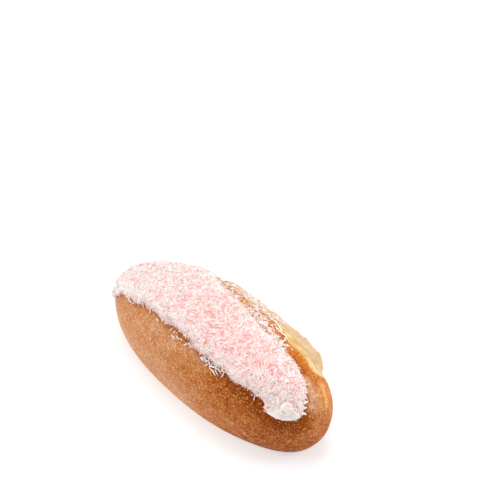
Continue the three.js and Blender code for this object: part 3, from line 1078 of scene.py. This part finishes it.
def crust_blisters(f):
    """Where the crust has tiny pale blisters and grains, from 0 to 1."""
    blisters = None
    for pitch, reach, empty, strength in BLISTERS:
        cells = f.cells(pitch, place=f.stretched(0.8, 1, 1))
        kept = f.some(cells, 0, empty, 0.15)
        found = f.range(cells.outputs["Distance"], reach * 0.6, reach * 1.4, strength, 0.0)
        found = f.times(found, kept)
        blisters = f.sum(blisters, found) if blisters else found
    grains = f.noise(pitch=0.9, detail=3.0, rough=0.6, warp=0.4, place=f.stretched(0.7, 1, 0.7))
    blisters = f.sum(blisters, f.range(grains, 0.56, 0.7, 0.0, 0.85))
    return f.times(blisters, f.range(f.noise(pitch=8), 0.35, 0.6, 0.4, 1.0))


def baked_colour(f, mottle, blisters):
    """The baked crust: mottled brown, golden on the torn side's shoulder, blistered and dusty, with
    painted shade, painted light and a painted sheen.
    """
    # How dark the crust is, which also carries painted shade, painted light and a painted sheen.
    bake = f.value("bake")
    patches = f.noise(pitch=5, detail=3.0, rough=0.6)
    dark = f.sum(bake, f.spread(patches, -0.09, 0.09))
    dark = f.sum(dark, f.spread(mottle, -0.26, 0.26))
    golden = f.times(f.value("gold"), 0.85)
    baked = f.blend(golden, f.ramp(dark, BAKED), f.ramp(dark, GOLDEN))
    blister = f.blend(f.range(bake, 0.35, 0.7), colour(240, 196, 148), colour(242, 180, 108))
    baked = f.blend(blisters, baked, blister)
    pits = f.cells(pitch=3.1)
    pit = f.range(pits.outputs["Distance"], 0.06, 0.16, 0.55, 0.0)
    baked = f.blend(f.times(pit, f.some(pits, 1, 0.6, 0.1)), baked, colour(96, 38, 12))
    grains = f.spread(f.noise(pitch=1.1, detail=3.0, rough=0.6), 0.2, 1.0)
    # Pale dust and smears of icing, and a painted sheen on the smooth flank.
    dust = f.times(f.times(f.value("dust"), grains), 0.85)
    baked = f.blend(dust, baked, colour(238, 200, 166))
    return f.blend(f.times(f.value("streak"), grains), baked, colour(246, 200, 120))


def inside_colour(f, crumb, fibres, open_crumb):
    """The torn side: yellowish streaks along the bun, and greyer crumb with painted shade in its
    hollows.
    """
    broad = f.spread(f.noise(pitch=6), 0.3, 0.8)
    inside = f.ramp(f.sum(f.spread(fibres, -0.45, 0.45), broad), INSIDE)
    tinted = f.times(crumb, f.spread(f.noise(pitch=2.5), 0.3, 0.9))
    inside = f.blend(tinted, inside, colour(212, 180, 152))
    # Painted shade in the open crumb's hollows.
    shaded_hollows = f.times(crumb, f.range(open_crumb, 0.3, 0.44, 0.5, 0.0))
    return f.blend(shaded_hollows, inside, colour(200, 150, 98))


def crust_finish():
    f = Finish("baked_crust")
    pale, crumb = f.value("pale"), f.value("crumb")
    mottle = f.noise(pitch=1.05, detail=4.0, rough=0.7, warp=0.2, place=f.stretched(0.8, 1, 0.9))
    blisters = crust_blisters(f)
    fibres = f.noise(pitch=0.9, detail=3.0, rough=0.7, place=f.stretched(0.12, 1, 1))
    open_crumb = f.noise(pitch=1.3, detail=4.0, rough=0.7, warp=0.4, place=f.stretched(0.35, 1, 1))
    # Between the baked crust and the pale skin, a golden orange.
    turning = f.ramp(pale, TURNING)
    pale = f.sum(pale, f.spread(fibres, -0.1, 0.1))
    skin = f.blend(f.range(pale, 0.0, 0.35), baked_colour(f, mottle, blisters), turning)
    inside = inside_colour(f, crumb, fibres, open_crumb)
    skin = f.blend(f.range(pale, 0.35, 0.9), skin, inside)
    wrinkles = f.noise(pitch=1.4, detail=5.0, rough=0.65, warp=0.5, place=f.stretched(0.7, 1, 1))
    bump = f.bump(wrinkles, 0.2)
    bump = f.bump(blisters, 0.08, bump)
    bump = f.bump(f.times(open_crumb, crumb), 0.5, bump)
    return f.surface(
        {
            "Base Color": skin,
            "Roughness": f.sum(f.spread(mottle, 0.36, 0.48), f.times(crumb, 0.4)),
            "Normal": bump,
            "Specular IOR Level": 0.05,
        }
    )


def icing_finish():
    """Pink icing, and a white glaze at its bare tip."""
    f = Finish("pink_icing")
    pink = f.spread(f.noise(pitch=5, detail=3.0))
    pink = f.blend(pink, colour(247, 162, 153), colour(249, 186, 178))
    glaze = f.range(f.noise(pitch=2.2, detail=3.0), 0.35, 0.65)
    glaze = f.blend(glaze, colour(248, 232, 227), colour(252, 248, 245))
    return f.surface(
        {
            "Base Color": f.blend(f.range(f.value("bare"), 0.0, 0.35), pink, glaze),
            "Roughness": 0.45,
            "Specular IOR Level": 0.2,
            "Normal": f.bump(f.noise(pitch=1.2, detail=3.0), 0.12),
        }
    )


def coconut_finish():
    """White coconut, stained pink by the icing, with painted light that whitens it towards the near
    tip and painted shade that greys it towards the far end.
    """
    f = Finish("shredded_coconut")
    along = f("ShaderNodeSeparateXYZ", {0: f.place}).outputs[0]
    # Painted light towards the near tip and painted shade towards the far end.
    near = f.range(along, -60 * MM, 65 * MM)
    white = f.blend(near, colour(240, 239, 236), colour(253, 247, 244))
    cream = f.spread(f.noise(pitch=3.5), 0.0, 0.5)
    white = f.blend(cream, white, colour(244, 235, 231))
    tone = f.blend(f.value("pink"), white, colour(248, 158, 148))
    return f.surface({"Base Color": tone, "Roughness": 0.6, "Specular IOR Level": 0.2})


# ---- Camera, light and floor -----------------------------------------------------------------

CAMERA = {"azimuth": 46.817, "elevation": 42.058, "distance": 717.32, "focal": 1328.985}
CAMERA_SIDEWAYS, CAMERA_UP = 17.042, 69.284
PICTURE = 500  # px
SENSOR = 36  # mm


def camera_axes():
    a, e = math.radians(CAMERA["azimuth"]), math.radians(CAMERA["elevation"])
    back = Vector((math.sin(a) * math.cos(e), -math.cos(a) * math.cos(e), math.sin(e)))
    right = Vector((math.cos(a), math.sin(a), 0))
    return right, back.cross(right), back


def add_camera():
    right, up, back = camera_axes()
    camera = bpy.data.objects.new("camera", bpy.data.cameras.new("camera"))
    scene.collection.objects.link(camera)
    scene.camera = camera
    place = back * CAMERA["distance"] + right * CAMERA_SIDEWAYS + up * CAMERA_UP
    camera.location = (place + shift) * MM
    camera.rotation_euler = Matrix((right, up, back)).transposed().to_euler()
    camera.data.sensor_width = SENSOR
    camera.data.lens = CAMERA["focal"] * SENSOR / PICTURE
    camera.data.clip_start = 0.02


# Soft lights: place to the right of the middle, up and back towards the camera, size, and watts.
LIGHTS = {
    "left_softbox": ((-0.85, 0.35, 0.3), 0.6, 3.8),
    "right_softbox": ((0.85, 0.3, 0.15), 0.5, 4.2),
    "top_softbox": ((0, 0.95, 0.45), 0.7, 6.5),
}
WORLD_LIGHT = 0.45
FLOOR_HALF, FLOOR_DROP = 3, 0.0002
FLOOR_GREY, FLOOR_GLOW = 0.6, 0.52  # the glow makes the floor read as plain white


def add_light(name, place, size, watts):
    light = bpy.data.lights.new(name, "AREA")
    light.size, light.energy = size, watts
    made = bpy.data.objects.new(name, light)
    scene.collection.objects.link(made)
    made.location = place
    made.rotation_euler = (-place).to_track_quat("-Z", "Y").to_euler()


def add_stage():
    floor = bpy.data.meshes.new("floor")
    corners = [(-1, -1), (1, -1), (1, 1), (-1, 1)]
    corners = [(x * FLOOR_HALF, y * FLOOR_HALF, -FLOOR_DROP) for x, y in corners]
    floor.from_pydata(corners, [], [(0, 1, 2, 3)])
    floor_object = bpy.data.objects.new("floor", floor)
    scene.collection.objects.link(floor_object)
    f = Finish("pale_floor")
    floor.materials.append(
        f.surface(
            {
                "Base Color": (FLOOR_GREY, FLOOR_GREY, FLOOR_GREY, 1),
                "Roughness": 0.8,
                "Emission Color": (1, 1, 1, 1),
                "Emission Strength": FLOOR_GLOW,
            }
        )
    )

    world = bpy.data.worlds.new("studio")
    scene.world = world
    world.use_nodes = True
    background = world.node_tree.nodes["Background"]
    background.inputs[0].default_value = (1, 1, 1, 1)
    background.inputs[1].default_value = WORLD_LIGHT
    axes = camera_axes()
    for name, (place, size, watts) in LIGHTS.items():
        place = sum((axis * way for axis, way in zip(axes, place)), Vector())
        add_light(name, place, size, watts)
    scene.view_settings.view_transform = "Standard"


# ---- The whole bun ---------------------------------------------------------------------------

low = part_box("bun")[0]
plain = crust_point(crust_grid())
shift = Vector((low.x / MM - plain[..., 0].min(), low.y / MM - plain[..., 1].min(), 0))
crust = build_crust()
icing = build_icing()

crust.data.materials.append(crust_finish())
icing.data.materials.append(icing_finish())
coconut = coconut_finish()

kinds = shred_kinds()
tree = strewing_tree()
shreds = {}
for name in LAYERS:
    surface = crust if name == "coconut_loose" else icing
    shreds[name] = strewn(name, surface, tree, kinds, coconut)

for kind in list(kinds.objects):
    bpy.data.objects.remove(kind)
bpy.data.collections.remove(kinds)
singles = [(start, end, width, SINGLE_THICKNESS, lift) for start, end, width, lift in SINGLES]
shreds["coconut_flakes"] = placed_shreds("coconut_flakes", FLAKES, FLAKE_TAPER)
shreds["coconut_singles"] = placed_shreds("coconut_singles", singles, SINGLE_TAPER)
for name in ("coconut_flakes", "coconut_singles"):
    shreds[name].data.materials.append(coconut)

add_camera()
add_stage()

for piece, node, slot in [(crust, "bun", "crust"), (icing, "icing", "icing")]:
    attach(piece, "root")
    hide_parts(node)
for name, piece in shreds.items():
    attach(piece, "root")
    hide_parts("bun" if name in ("coconut_loose", "coconut_singles") else "icing")
